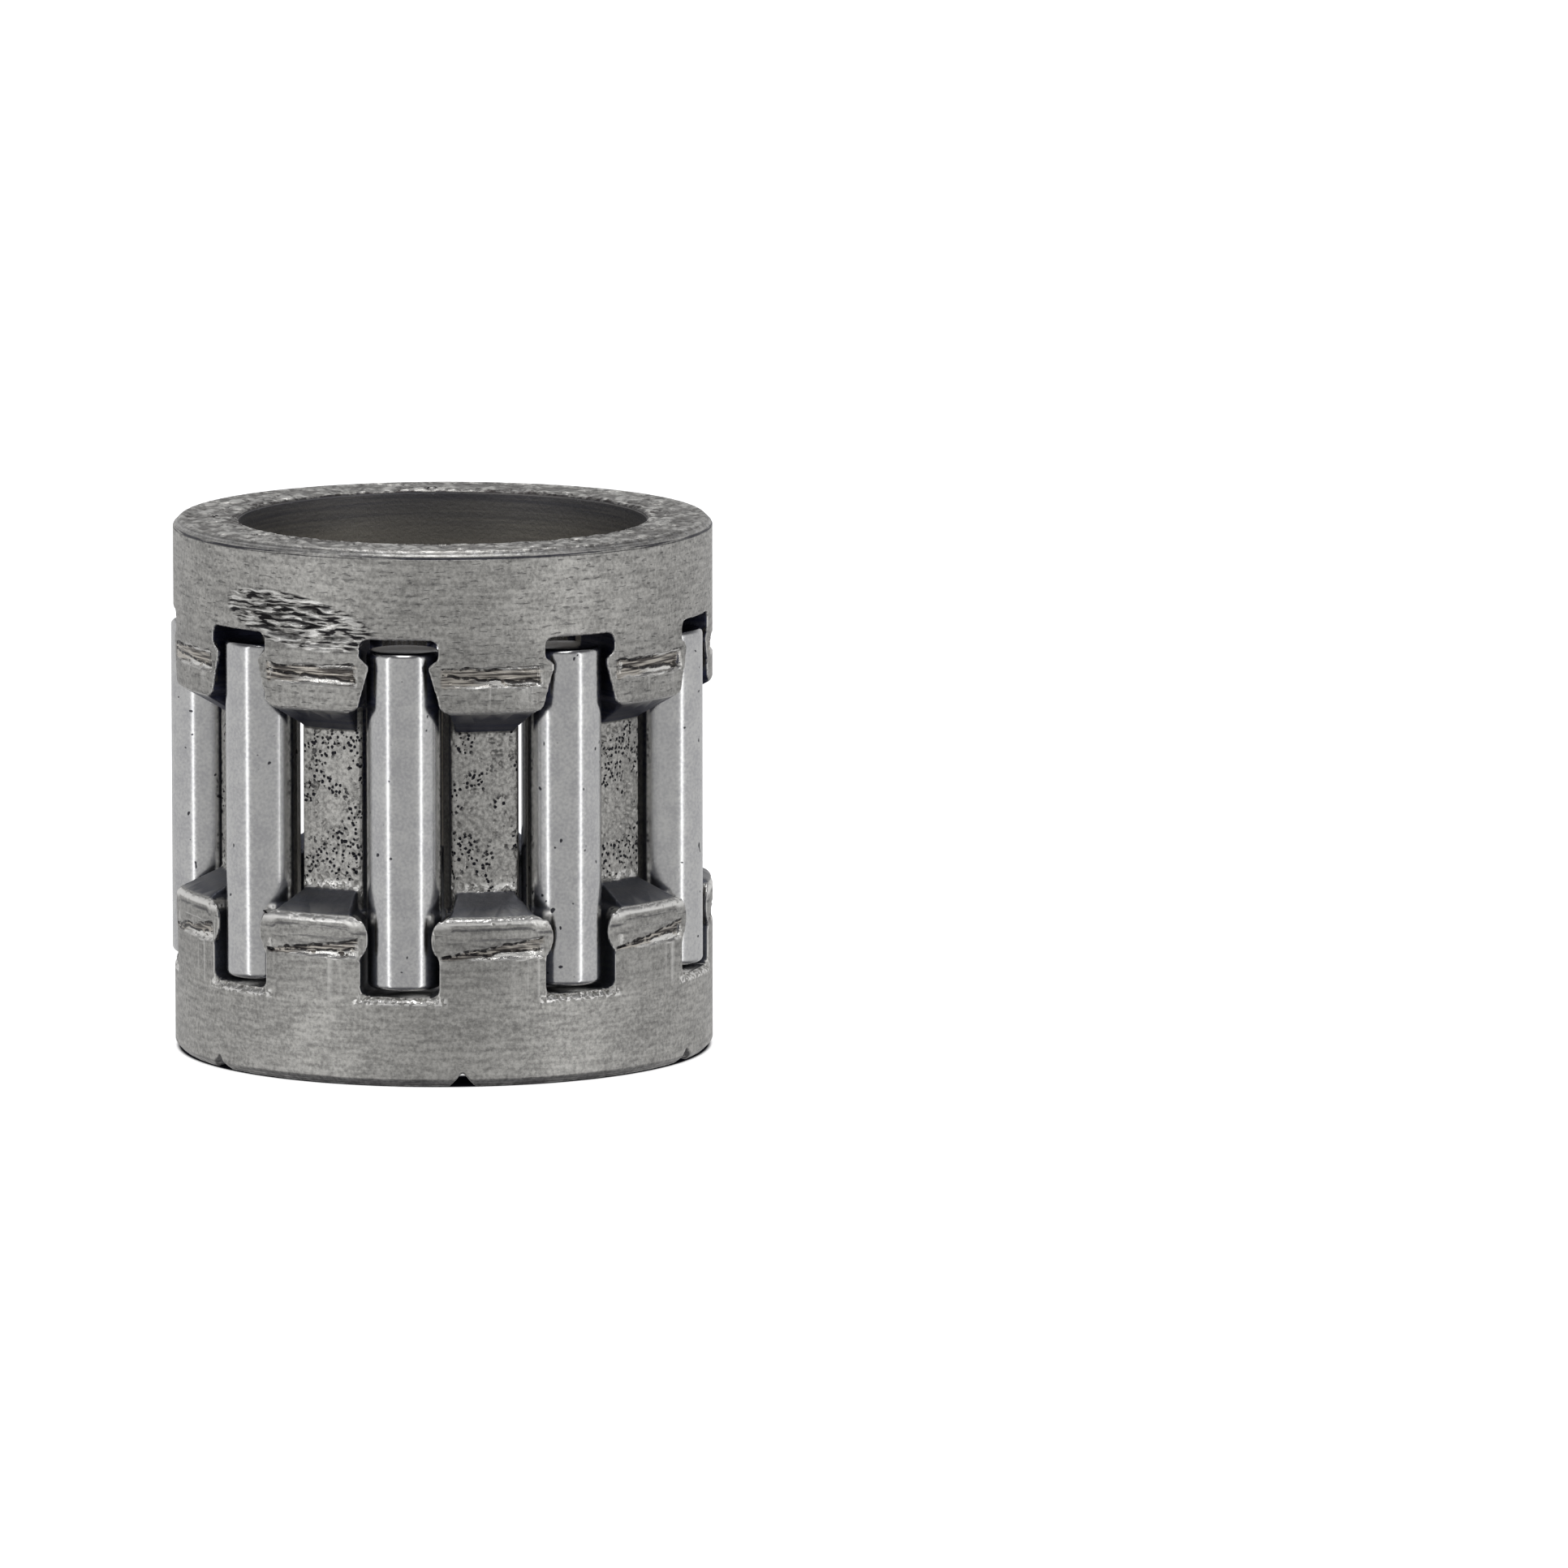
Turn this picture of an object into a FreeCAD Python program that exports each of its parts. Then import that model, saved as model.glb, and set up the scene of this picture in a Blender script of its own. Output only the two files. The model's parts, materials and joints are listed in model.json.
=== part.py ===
import FreeCAD
import Part
import Sketcher
import math
import os

# Needle roller bearing: one solid steel cage holding needle rollers in a ring of windows.
# It has no inner or outer ring. The rollers run on a pin through the middle and in the
# bore of a housing around the outside.
#
# Axes: +Z is the bearing axis and the origin is at the middle of the cage. Roller 1 lies
# on +X and the others follow anticlockwise. All sizes are millimetres and degrees.

DRIVING_SIZES = [
    # name, value, what it is
    ("shaft_diameter", 8.0, "pin that the rollers run on, touching them all"),
    ("roller_diameter", 1.5, "needle roller"),
    ("roller_length", 6.8, "needle roller over its ends"),
    ("roller_end_radius", 0.12, "rounding at each end of a roller"),
    ("roller_count", 9, "rollers, and windows in the cage"),
    ("cage_width", 10.8, "cage along its axis"),
    ("outer_clearance", 0.05, "radial gap between the housing bore and the cage"),
    ("inner_clearance", 0.125, "radial gap between the pin and the cage bore"),
    ("end_play", 0.4, "free length of a roller in its window"),
    ("end_gap", 0.13, "gap under a roller as it hangs in its window"),
    ("side_play", 0.1, "free width of a roller in its window"),
    ("window_corner", 0.18, "corner radius at the window's ends"),
    ("land_corner", 0.21, "corner radius where a window opens at the edge of a land"),
    ("edge_chamfer", 0.14, "chamfer round the outside at each end of the cage"),
    ("bore_chamfer", 0.08, "chamfer round the bore at each end of the cage"),
    ("web_thickness", 0.46, "thin middle of a bar, between two rollers"),
    ("web_overlap", 0.2, "how far a web closes the window inside, to hold the roller"),
    ("web_relief", 0.12, "free width beside a roller at the web's outer face"),
    ("web_edge_radius", 0.14, "rounded outer edge of a web"),
    ("land_top_length", 1.47, "window's top end to the edge of the full-height land"),
    ("land_low_length", 1.6, "window's bottom end to the edge of the land"),
    ("slope_top_length", 0.5, "slope between the top land and the web"),
    ("slope_low_length", 0.42, "slope between the bottom land and the web"),
    ("groove_top_inset", 0.74, "window's top end to the middle of the punched groove"),
    ("groove_low_inset", 0.98, "window's bottom end to the middle of the groove"),
    ("groove_width", 0.42, "punched groove along the axis, at the surface"),
    ("groove_depth", 0.09, "punched groove"),
    ("groove_flank", 0.07, "sloping side of the groove"),
    ("groove_margin", 0.14, "wall left between the groove's end and the window"),
    ("lip_top_overlap", 0.28, "how far the top lips close the window outside"),
    ("lip_top_inset", 0.57, "window's top end to the middle of a top lip's nose"),
    ("lip_top_nose", 0.1, "flat nose of a top lip along the axis"),
    ("lip_top_step", 0.16, "steep upper side of a top lip; its lower side is a long taper"),
    ("lip_low_overlap", 0.24, "how far the bottom lips close the window outside"),
    ("lip_low_inset", 1.16, "window's bottom end to the middle of a bottom lip"),
    ("lip_low_half", 0.4, "half the length of a bottom lip along the axis"),
    ("lip_clearance", 0.09, "gap between a roller and the underside of a lip"),
    ("notch_count", 6, "driving notches in the bottom end"),
    ("notch_depth", 0.3, "driving notch along the axis"),
    ("notch_half_width", 0.25, "half of a driving notch at the end face"),
    ("notch_angle", 53.35, "first notch, round from roller 1"),
]

# Sizes that follow from the driving ones, as expressions on the sheet.
PITCH_RADIUS = "((Sizes.shaft_diameter + Sizes.roller_diameter) / 2)"
CAGE_RADIUS = "(Sizes.shaft_diameter / 2 + Sizes.roller_diameter - Sizes.outer_clearance)"
BORE_RADIUS = "(Sizes.shaft_diameter / 2 + Sizes.inner_clearance)"
WEB_RADIUS = f"({BORE_RADIUS} + Sizes.web_thickness)"
HALF_CAGE = "(Sizes.cage_width / 2)"
HALF_WINDOW = "((Sizes.roller_length + Sizes.end_play) / 2)"
WINDOW_SIDE = "((Sizes.roller_diameter + Sizes.side_play) / 2)"
LAND_TOP = f"({HALF_WINDOW} - Sizes.land_top_length)"
LAND_LOW = f"({HALF_WINDOW} - Sizes.land_low_length)"
WEB_TOP = f"({LAND_TOP} - Sizes.slope_top_length)"
WEB_LOW = f"({LAND_LOW} - Sizes.slope_low_length)"
GROOVE_TOP = f"({HALF_WINDOW} - Sizes.groove_top_inset)"
GROOVE_LOW = f"({HALF_WINDOW} - Sizes.groove_low_inset)"
LIP_TOP = f"({HALF_WINDOW} - Sizes.lip_top_inset)"
LIP_LOW = f"({HALF_WINDOW} - Sizes.lip_low_inset)"
LIP_TOP_SIDE = "((Sizes.roller_diameter - Sizes.lip_top_overlap) / 2)"
LIP_LOW_SIDE = "((Sizes.roller_diameter - Sizes.lip_low_overlap) / 2)"
NARROW_SIDE = f"min({LIP_TOP_SIDE}; {LIP_LOW_SIDE})"
ROLLER_REACH = "(Sizes.roller_diameter / 2 + Sizes.lip_clearance)"
LIP_FLOOR = f"({PITCH_RADIUS} + sqrt({ROLLER_REACH} ^ 2 - {NARROW_SIDE} ^ 2))"
WEB_SIDE = "((Sizes.roller_diameter - Sizes.web_overlap) / 2)"
RELIEF_SIDE = "(Sizes.roller_diameter / 2 + Sizes.web_relief)"
ROLLER_REST = f"(Sizes.end_gap - {HALF_WINDOW} + Sizes.roller_length / 2)"

doc = FreeCAD.newDocument("needle_roller_bearing")
sheet = doc.addObject("Spreadsheet::Sheet", "Sizes")
for row, (name, value, meaning) in enumerate(DRIVING_SIZES, start=1):
    sheet.set(f"A{row}", name)
    sheet.set(f"B{row}", str(value))
    sheet.set(f"C{row}", meaning)
    sheet.setAlias(f"B{row}", name)
doc.recompute()


def value_of(expression):
    """Number that an expression gives with the sheet as it stands."""
    return float(sheet.evalExpression(expression))


def origin_feature(body, role):
    """Plane or axis of a body's own origin."""
    return next(item for item in body.Origin.OriginFeatures if item.Role == role)


def corner_point(corner):
    """Place of a corner with the sheet as it stands."""
    return FreeCAD.Vector(value_of(corner[0]), value_of(corner[1]), 0)


def arc_between(start, end, radius, turn):
    """Minor arc between two points: turn is 1 if it runs anticlockwise and -1 if clockwise."""
    if turn < 0:
        start, end = end, start
    chord = end - start
    rise = math.sqrt(max(radius ** 2 - (chord.Length / 2) ** 2, 0))
    centre = (start + end) / 2 + FreeCAD.Vector(-chord.y, chord.x, 0).normalize() * rise
    start_angle = math.atan2(start.y - centre.y, start.x - centre.x)
    end_angle = math.atan2(end.y - centre.y, end.x - centre.x)
    if end_angle < start_angle:
        end_angle += 2 * math.pi
    circle = Part.Circle(centre, FreeCAD.Vector(0, 0, 1), radius)
    return Part.ArcOfCircle(circle, start_angle, end_angle)


def outline(sketch, corners):
    """Draw one closed outline and tie each corner of it to the sheet.

    A corner is (across, up) and a straight run to the next one, or (across, up, radius, turn)
    and an arc to the next one, where turn is 1 for an anticlockwise arc and -1 for a clockwise.
    """
    first = sketch.GeometryCount
    count = len(corners)
    starts = []
    ends = []
    for index, corner in enumerate(corners):
        here = corner_point(corner)
        following = corner_point(corners[(index + 1) % count])
        if len(corner) == 2:
            sketch.addGeometry(Part.LineSegment(here, following))
            turn = 1
        else:
            turn = corner[3]
            sketch.addGeometry(arc_between(here, following, value_of(corner[2]), turn))
        starts.append(1 if turn > 0 else 2)
        ends.append(2 if turn > 0 else 1)
    for index, corner in enumerate(corners):
        before = (index - 1) % count
        edge = first + index
        sketch.addConstraint(
            Sketcher.Constraint("Coincident", first + before, ends[before], edge, starts[index]))
        for axis, expression in zip("XY", corner):
            number = sketch.addConstraint(Sketcher.Constraint(
                "Distance" + axis, -1, 1, edge, starts[index], value_of(expression)))
            tie(sketch, number, f"corner_{edge}_{axis}", expression)
        if len(corner) > 2:
            number = sketch.addConstraint(
                Sketcher.Constraint("Radius", edge, value_of(corner[2])))
            tie(sketch, number, f"radius_{edge}", corner[2])


def tie(sketch, number, name, expression):
    """Name a constraint and bind it to the sheet."""
    sketch.renameConstraint(number, name)
    sketch.setExpression("Constraints." + name, expression)


def sketch_on(body, name, role, offset="0", turn="0"):
    """Sketch on a plane of the body's origin, moved along its normal and turned about Z."""
    sketch = body.newObject("Sketcher::SketchObject", name)
    sketch.AttachmentSupport = [(origin_feature(body, role), "")]
    sketch.MapMode = "FlatFace"
    sketch.AttachmentOffset = FreeCAD.Placement(
        FreeCAD.Vector(0, 0, 0), FreeCAD.Rotation(FreeCAD.Vector(0, 1, 0), value_of(turn)))
    sketch.setExpression("AttachmentOffset.Base.z", offset)
    if turn != "0":
        sketch.setExpression("AttachmentOffset.Rotation.Angle", turn)
    return sketch


def mirrored(corners, axis="up"):
    """Corners of a half outline followed by their mirror images across the up or across axis."""
    images = []
    for index in range(len(corners) - 1, -1, -1):
        across, up = corners[index][:2]
        image = (f"-({across})", up) if axis == "up" else (across, f"-({up})")
        if index > 0:
            image += corners[index - 1][2:]
        images.append(image)
    return corners + images


def flipped(corners):
    """The same outline upside down, with its arcs turning the other way."""
    return [(corner[0], f"-({corner[1]})", *corner[2:3], *(-turn for turn in corner[3:]))
            for corner in corners]


def revolve(body, name, corners):
    """Turned solid: an outline of (radius, height) corners round the Z axis."""
    sketch = sketch_on(body, name + "_section", "XZ_Plane")
    outline(sketch, corners)
    feature = body.newObject("PartDesign::Revolution", name)
    feature.Profile = sketch
    feature.ReferenceAxis = (sketch, ["V_Axis"])
    feature.Angle = 360
    return feature


def volume_of(feature):
    """Volume of the body up to and including one feature."""
    doc.recompute()
    return feature.Shape.Volume


def pocket(body, name, sketch, length, reverse):
    """Cut an outline into the body and make sure that it removes something."""
    before = volume_of(body)
    feature = body.newObject("PartDesign::Pocket", name)
    feature.Profile = sketch
    feature.setExpression("Length", length)
    feature.Reversed = reverse
    if not volume_of(feature) < before:
        raise RuntimeError(f"{name} cuts nothing")
    return feature


def ring_of(body, name, originals, count):
    """Repeat features evenly round the Z axis."""
    pattern = body.newObject("PartDesign::PolarPattern", name)
    pattern.Originals = originals
    pattern.Axis = (origin_feature(body, "Z_Axis"), [""])
    pattern.Angle = 360
    pattern.setExpression("Occurrences", count)
    body.Tip = pattern
    return pattern


# The cage starts as a turned sleeve with a wide recess in the middle of its outside. The
# recess leaves thin webs near the bore, and full-height lands at each end of each window.
cage = doc.addObject("PartDesign::Body", "cage")
cage.Label = "cage"
revolve(cage, "sleeve", [
    (f"{BORE_RADIUS} + Sizes.bore_chamfer", f"-{HALF_CAGE}"),
    (f"{CAGE_RADIUS} - Sizes.edge_chamfer", f"-{HALF_CAGE}"),
    (CAGE_RADIUS, f"-{HALF_CAGE} + Sizes.edge_chamfer"),
    (CAGE_RADIUS, f"-{LAND_LOW}"),
    (WEB_RADIUS, f"-{WEB_LOW}"),
    (WEB_RADIUS, WEB_TOP),
    (CAGE_RADIUS, LAND_TOP),
    (CAGE_RADIUS, f"{HALF_CAGE} - Sizes.edge_chamfer"),
    (f"{CAGE_RADIUS} - Sizes.edge_chamfer", HALF_CAGE),
    (f"{BORE_RADIUS} + Sizes.bore_chamfer", HALF_CAGE),
    (BORE_RADIUS, f"{HALF_CAGE} - Sizes.bore_chamfer"),
    (BORE_RADIUS, f"-{HALF_CAGE} + Sizes.bore_chamfer"),
])

# Window ends: full width and full depth, up to the underside of the lips.
def window_end(land):
    """Outline of one end of a window, seen along a radius, with the window's end upwards."""
    return mirrored([
        (WINDOW_SIDE, land),
        (WINDOW_SIDE, f"{HALF_WINDOW} - Sizes.window_corner", "Sizes.window_corner", 1),
        (f"{WINDOW_SIDE} - Sizes.window_corner", HALF_WINDOW),
    ])


end_sketch = sketch_on(cage, "window_end_outline", "YZ_Plane", offset=LIP_FLOOR)
outline(end_sketch, window_end(LAND_TOP))
outline(end_sketch, flipped(window_end(LAND_LOW)))
window_ends = pocket(cage, "window_ends", end_sketch, LIP_FLOOR, reverse=False)


# Shoulders: the window opens out with a round corner where a land drops away to the web.
def shoulder(land):
    """Outline of the round corners at the edge of a land."""
    return mirrored([
        (f"{WINDOW_SIDE} + Sizes.land_corner", land, "Sizes.land_corner", -1),
        (WINDOW_SIDE, f"{land} + Sizes.land_corner"),
    ])


shoulder_sketch = sketch_on(cage, "shoulder_outline", "YZ_Plane", offset=LIP_FLOOR)
outline(shoulder_sketch, shoulder(LAND_TOP))
outline(shoulder_sketch, flipped(shoulder(LAND_LOW)))
shoulders = pocket(cage, "shoulders", shoulder_sketch, f"{LIP_FLOOR} - {WEB_RADIUS}", reverse=False)

# Window mouth: the outer skin of the wall, where the lips stand into the window beside each
# punched groove and keep the roller from falling out. A top lip has a short steep upper
# side and a long taper below its nose. A bottom lip is a plain arc.
LIP_TOP_EDGE = f"{LIP_TOP} + Sizes.lip_top_nose / 2"
LIP_LOW_RISE = f"({WINDOW_SIDE} - {LIP_LOW_SIDE})"
LIP_LOW_RADIUS = f"(Sizes.lip_low_half ^ 2 + {LIP_LOW_RISE} ^ 2) / (2 * {LIP_LOW_RISE})"
mouth_sketch = sketch_on(cage, "window_mouth_outline", "YZ_Plane", offset=LIP_FLOOR)
outline(mouth_sketch, mirrored([
    (f"{WINDOW_SIDE} - Sizes.window_corner", f"-{HALF_WINDOW}", "Sizes.window_corner", 1),
    (WINDOW_SIDE, f"-{HALF_WINDOW} + Sizes.window_corner"),
    (WINDOW_SIDE, f"-{LIP_LOW} - Sizes.lip_low_half", LIP_LOW_RADIUS, -1),
    (WINDOW_SIDE, f"-{LIP_LOW} + Sizes.lip_low_half"),
    (WINDOW_SIDE, f"-{LAND_LOW} - Sizes.land_corner", "Sizes.land_corner", -1),
    (f"{WINDOW_SIDE} + Sizes.land_corner", f"-{LAND_LOW}"),
    (f"{WINDOW_SIDE} + Sizes.land_corner", LAND_TOP, "Sizes.land_corner", -1),
    (WINDOW_SIDE, f"{LAND_TOP} + Sizes.land_corner"),
    (LIP_TOP_SIDE, f"{LIP_TOP} - Sizes.lip_top_nose / 2"),
    (LIP_TOP_SIDE, LIP_TOP_EDGE),
    (WINDOW_SIDE, f"{LIP_TOP_EDGE} + Sizes.lip_top_step"),
    (WINDOW_SIDE, f"{HALF_WINDOW} - Sizes.window_corner", "Sizes.window_corner", 1),
    (f"{WINDOW_SIDE} - Sizes.window_corner", HALF_WINDOW),
]))
window_mouth = pocket(cage, "window_mouth", mouth_sketch, CAGE_RADIUS, reverse=True)

# Slot between two webs and their slopes, seen along the axis: narrower than the roller at
# the bore, so that the roller can't fall inwards, and opening out to the webs' rounded edges.
SLOT_BORE = f"sqrt({BORE_RADIUS} ^ 2 - {WEB_SIDE} ^ 2)"
SLOT_OUTSIDE = f"sqrt({WEB_RADIUS} ^ 2 - {RELIEF_SIDE} ^ 2)"
slot_sketch = sketch_on(cage, "slot_outline", "XY_Plane", offset=f"-{LAND_LOW}")
outline(slot_sketch, mirrored([
    (f"{BORE_RADIUS} / 2", WEB_SIDE),
    (SLOT_BORE, WEB_SIDE),
    (f"{SLOT_OUTSIDE} - Sizes.web_edge_radius", RELIEF_SIDE, "Sizes.web_edge_radius", 1),
    (SLOT_OUTSIDE, f"{RELIEF_SIDE} + Sizes.web_edge_radius"),
    (CAGE_RADIUS, f"{RELIEF_SIDE} + Sizes.web_edge_radius"),
], axis="across"))
slot = pocket(cage, "slot", slot_sketch, f"{LAND_LOW} + {LAND_TOP}", reverse=True)


# Grooves punched across the outside of each bar, near its ends. Pressing them in pushes
# the wall out sideways into the lips.
def punched_groove(name, middle):
    """Shallow groove across one bar, ending just short of the windows beside it."""
    surface = f"{CAGE_RADIUS} - Sizes.groove_depth"
    half_width = "Sizes.groove_width / 2"
    before = volume_of(cage)
    sketch = sketch_on(cage, name + "_section", "XZ_Plane", turn="180 / Sizes.roller_count")
    outline(sketch, [
        (f"{CAGE_RADIUS} + Sizes.groove_depth", f"{middle} - {half_width}"),
        (f"{CAGE_RADIUS} + Sizes.groove_depth", f"{middle} + {half_width}"),
        (CAGE_RADIUS, f"{middle} + {half_width}"),
        (surface, f"{middle} + {half_width} - Sizes.groove_flank"),
        (surface, f"{middle} - {half_width} + Sizes.groove_flank"),
        (CAGE_RADIUS, f"{middle} - {half_width}"),
    ])
    groove = cage.newObject("PartDesign::Groove", name)
    groove.Profile = sketch
    groove.ReferenceAxis = (sketch, ["V_Axis"])
    groove.Midplane = True
    window_angle = f"asin(({WINDOW_SIDE} + Sizes.groove_margin) / {CAGE_RADIUS})"
    groove.setExpression("Angle", f"2 * (180 deg / Sizes.roller_count - {window_angle})")
    if not volume_of(groove) < before:
        raise RuntimeError(f"{name} cuts nothing")
    return groove


groove_top = punched_groove("groove_top", GROOVE_TOP)
groove_low = punched_groove("groove_low", f"-{GROOVE_LOW}")
ring_of(cage, "ring_of_windows",
        [window_ends, shoulders, window_mouth, slot, groove_top, groove_low],
        "Sizes.roller_count")

# Driving notches: shallow V cuts across the bottom end face.
notch_sketch = sketch_on(cage, "notch_outline", "YZ_Plane", turn="Sizes.notch_angle")
outline(notch_sketch, [
    ("Sizes.notch_half_width", f"-{HALF_CAGE} - Sizes.notch_depth"),
    ("Sizes.notch_half_width", f"-{HALF_CAGE}"),
    ("0", f"-{HALF_CAGE} + Sizes.notch_depth"),
    ("-Sizes.notch_half_width", f"-{HALF_CAGE}"),
    ("-Sizes.notch_half_width", f"-{HALF_CAGE} - Sizes.notch_depth"),
])
notch = pocket(cage, "notch", notch_sketch, CAGE_RADIUS, reverse=True)
ring_of(cage, "ring_of_notches", [notch], "Sizes.notch_count")


# Needle rollers: plain hardened pins with rounded ends, each low in its window, on the circle
# where they touch the pin and the housing.
def roller(number):
    """One needle roller in its window."""
    body = doc.addObject("PartDesign::Body", f"roller_{number}")
    body.Label = f"roller_{number}"
    radius = "Sizes.roller_diameter / 2"
    half_length = "Sizes.roller_length / 2"
    revolve(body, f"needle_{number}", [
        ("0", f"-{half_length}"),
        (f"{radius} - Sizes.roller_end_radius", f"-{half_length}", "Sizes.roller_end_radius", 1),
        (radius, f"-{half_length} + Sizes.roller_end_radius"),
        (radius, f"{half_length} - Sizes.roller_end_radius", "Sizes.roller_end_radius", 1),
        (f"{radius} - Sizes.roller_end_radius", half_length),
        ("0", half_length),
    ])
    angle = f"{number - 1} * 360 deg / Sizes.roller_count"
    body.setExpression("Placement.Base.x", f"{PITCH_RADIUS} * cos({angle})")
    body.setExpression("Placement.Base.y", f"{PITCH_RADIUS} * sin({angle})")
    body.setExpression("Placement.Base.z", ROLLER_REST)
    return body


pieces = [cage]
for number in range(1, int(value_of("Sizes.roller_count")) + 1):
    pieces.append(roller(number))
doc.recompute()

# Nothing is written unless every object is sound.
for item in doc.Objects:
    if "Invalid" in item.State or "Error" in item.State:
        raise RuntimeError(f"{item.Label} failed: {item.State}")
for piece in pieces:
    if piece.Shape.isNull() or not piece.Shape.isValid() or len(piece.Shape.Solids) != 1:
        raise RuntimeError(f"{piece.Label} is not one sound solid")

os.makedirs("parts", exist_ok=True)
for piece in pieces:
    piece.Shape.exportStep(f"parts/{piece.Label}.step")
    print(piece.Label, round(piece.Shape.Volume, 3), "mm3")
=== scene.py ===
import json
import math

import bmesh
import bpy
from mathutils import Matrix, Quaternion, Vector, noise


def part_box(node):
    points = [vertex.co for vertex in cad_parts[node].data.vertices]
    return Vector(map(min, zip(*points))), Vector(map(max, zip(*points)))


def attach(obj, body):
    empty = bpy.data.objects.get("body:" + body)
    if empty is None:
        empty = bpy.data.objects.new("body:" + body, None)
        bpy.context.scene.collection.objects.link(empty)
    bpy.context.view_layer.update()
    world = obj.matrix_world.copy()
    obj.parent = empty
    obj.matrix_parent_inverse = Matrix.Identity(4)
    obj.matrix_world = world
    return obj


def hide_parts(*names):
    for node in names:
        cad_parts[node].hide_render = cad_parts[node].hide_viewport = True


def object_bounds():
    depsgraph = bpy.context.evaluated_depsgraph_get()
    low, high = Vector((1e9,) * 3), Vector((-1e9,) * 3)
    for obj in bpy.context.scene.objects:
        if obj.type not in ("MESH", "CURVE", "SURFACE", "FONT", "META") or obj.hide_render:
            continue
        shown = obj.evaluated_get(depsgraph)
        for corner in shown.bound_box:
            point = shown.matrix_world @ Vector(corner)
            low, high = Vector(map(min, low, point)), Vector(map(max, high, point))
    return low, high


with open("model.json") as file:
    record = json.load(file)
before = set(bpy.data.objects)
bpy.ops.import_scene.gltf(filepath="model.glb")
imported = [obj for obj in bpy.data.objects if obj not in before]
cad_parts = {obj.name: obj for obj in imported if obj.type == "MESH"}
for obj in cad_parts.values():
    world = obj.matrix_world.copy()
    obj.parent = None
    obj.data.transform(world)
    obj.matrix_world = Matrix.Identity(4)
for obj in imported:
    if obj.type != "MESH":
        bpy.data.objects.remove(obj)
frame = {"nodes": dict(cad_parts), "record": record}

cad_low, cad_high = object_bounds()

# ---------------------------------------------------------------------------------------
# Cage: one solid ring of hardened steel, turned from tube, with its windows broached and
# its lips pressed out by punched grooves. It was tumbled, so its edges are a little round,
# and its end faces are left rough and cratered by the hardening.
# ---------------------------------------------------------------------------------------
MM = 0.001
mounts = {mount["name"]: mount["dims"].get("r_mm") for mount in frame["record"]["mounts"]}
bore_radius = mounts["pin_bore"]
cage_radius = mounts["housing_seat"]
web_thickness = 0.46
web_radius = bore_radius + web_thickness
turned_sizes = (bore_radius, web_radius, cage_radius)
cage_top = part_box("cage")[1].z / MM
chamfer = 0.14
rim_height = cage_top - chamfer
windows = 9
roller_step = 360 / windows
roller_pitch = 2 * math.pi * cage_radius / windows

# The window, land and slope of one bar, from the bottom up, and its two pressed grooves.
roller_low, roller_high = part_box("roller_1")
end_gap = 0.13
window_top = end_gap - roller_low.z / MM
window_side = 0.8
low_land_length = 1.6
low_slope_length = 0.42
top_slope_length = 0.5
top_land_length = 1.47
land_low = low_land_length - window_top
web_low = land_low + low_slope_length
land_top = window_top - top_land_length
web_top = land_top - top_slope_length
groove_top = window_top - 0.74
groove_low = 0.98 - window_top
groove_half = 0.21
groove_span = 1.06

# The torn patch of the upper ring, in degrees round it and millimetres up it.
patch_angle = -104.0
patch_spread = 21.0
patch_height = window_top + 0.30
patch_reach = 0.60
patch_slope = 0.013

# Rolled upper edge of a lower land, depth of the pits, and how far the skin stays inside.
rolled_height = 0.12
rolled_depth = 0.07
pit_depth = 0.05
inset = 0.0005

# Fineness of the cage's skin.
voxel = 0.036
triangle_limit = 195000


def finished_mesh(thing):
    """Mesh of an object with its modifiers worked in."""
    graph = bpy.context.evaluated_depsgraph_get()
    return bpy.data.meshes.new_from_object(thing.evaluated_get(graph))


def new_piece(name, mesh, material):
    """Smooth-shaded object of a mesh, in the scene."""
    for face in mesh.polygons:
        face.use_smooth = True
    mesh.materials.clear()
    mesh.materials.append(material)
    thing = bpy.data.objects.new(name, mesh)
    bpy.context.scene.collection.objects.link(thing)
    return thing


def fade(value, start, full):
    """0 at start, 1 at full and beyond, smooth between."""
    share = min(max((value - start) / (full - start), 0.0), 1.0)
    return share * share * (3 - 2 * share)


class Socket:
    """A shader socket that takes part in Python expressions."""

    def __init__(self, tree, link):
        self.tree = tree
        self.link = link

    def node(self, kind, settings, inputs, output=0):
        """Any node: its settings are made first, then its sockets get values or links."""
        made = self.tree.nodes.new(kind)
        for key, value in settings.items():
            setattr(made, key, value)
        for key, value in inputs.items():
            if isinstance(value, Socket):
                self.tree.links.new(value.link, made.inputs[key])
            else:
                made.inputs[key].default_value = value
        return Socket(self.tree, made.outputs[output])

    def maths(self, operation, *others):
        """Math node on this value and the others."""
        inputs = dict(enumerate((self, *others)))
        return self.node("ShaderNodeMath", {"operation": operation}, inputs)

    def __add__(self, other):
        return self.maths("ADD", other)

    __radd__ = __add__

    def __mul__(self, other):
        return self.maths("MULTIPLY", other)

    __rmul__ = __mul__

    def __sub__(self, other):
        return self.maths("SUBTRACT", other)

    def __rsub__(self, other):
        return (self * -1.0) + other

    def __truediv__(self, other):
        return self.maths("DIVIDE", other)

    def between(self, start, full):
        """0 at start and 1 at full, smooth between."""
        inputs = {"Value": self, "From Min": start, "From Max": full}
        return self.node("ShaderNodeMapRange", {"interpolation_type": "SMOOTHSTEP"}, inputs)

    def within(self, low_start, low_full, high_full, high_start):
        """1 from low_full to high_full, and 0 below low_start and above high_start."""
        return self.between(low_start, low_full) * self.between(high_start, high_full)

    def blend(self, low, high):
        """Colour between two colours, the Mix node's sockets 6 and 7, by this share."""
        inputs = {"Factor": self, 6: low, 7: high}
        return self.node("ShaderNodeMix", {"data_type": "RGBA"}, inputs, output=2)


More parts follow.
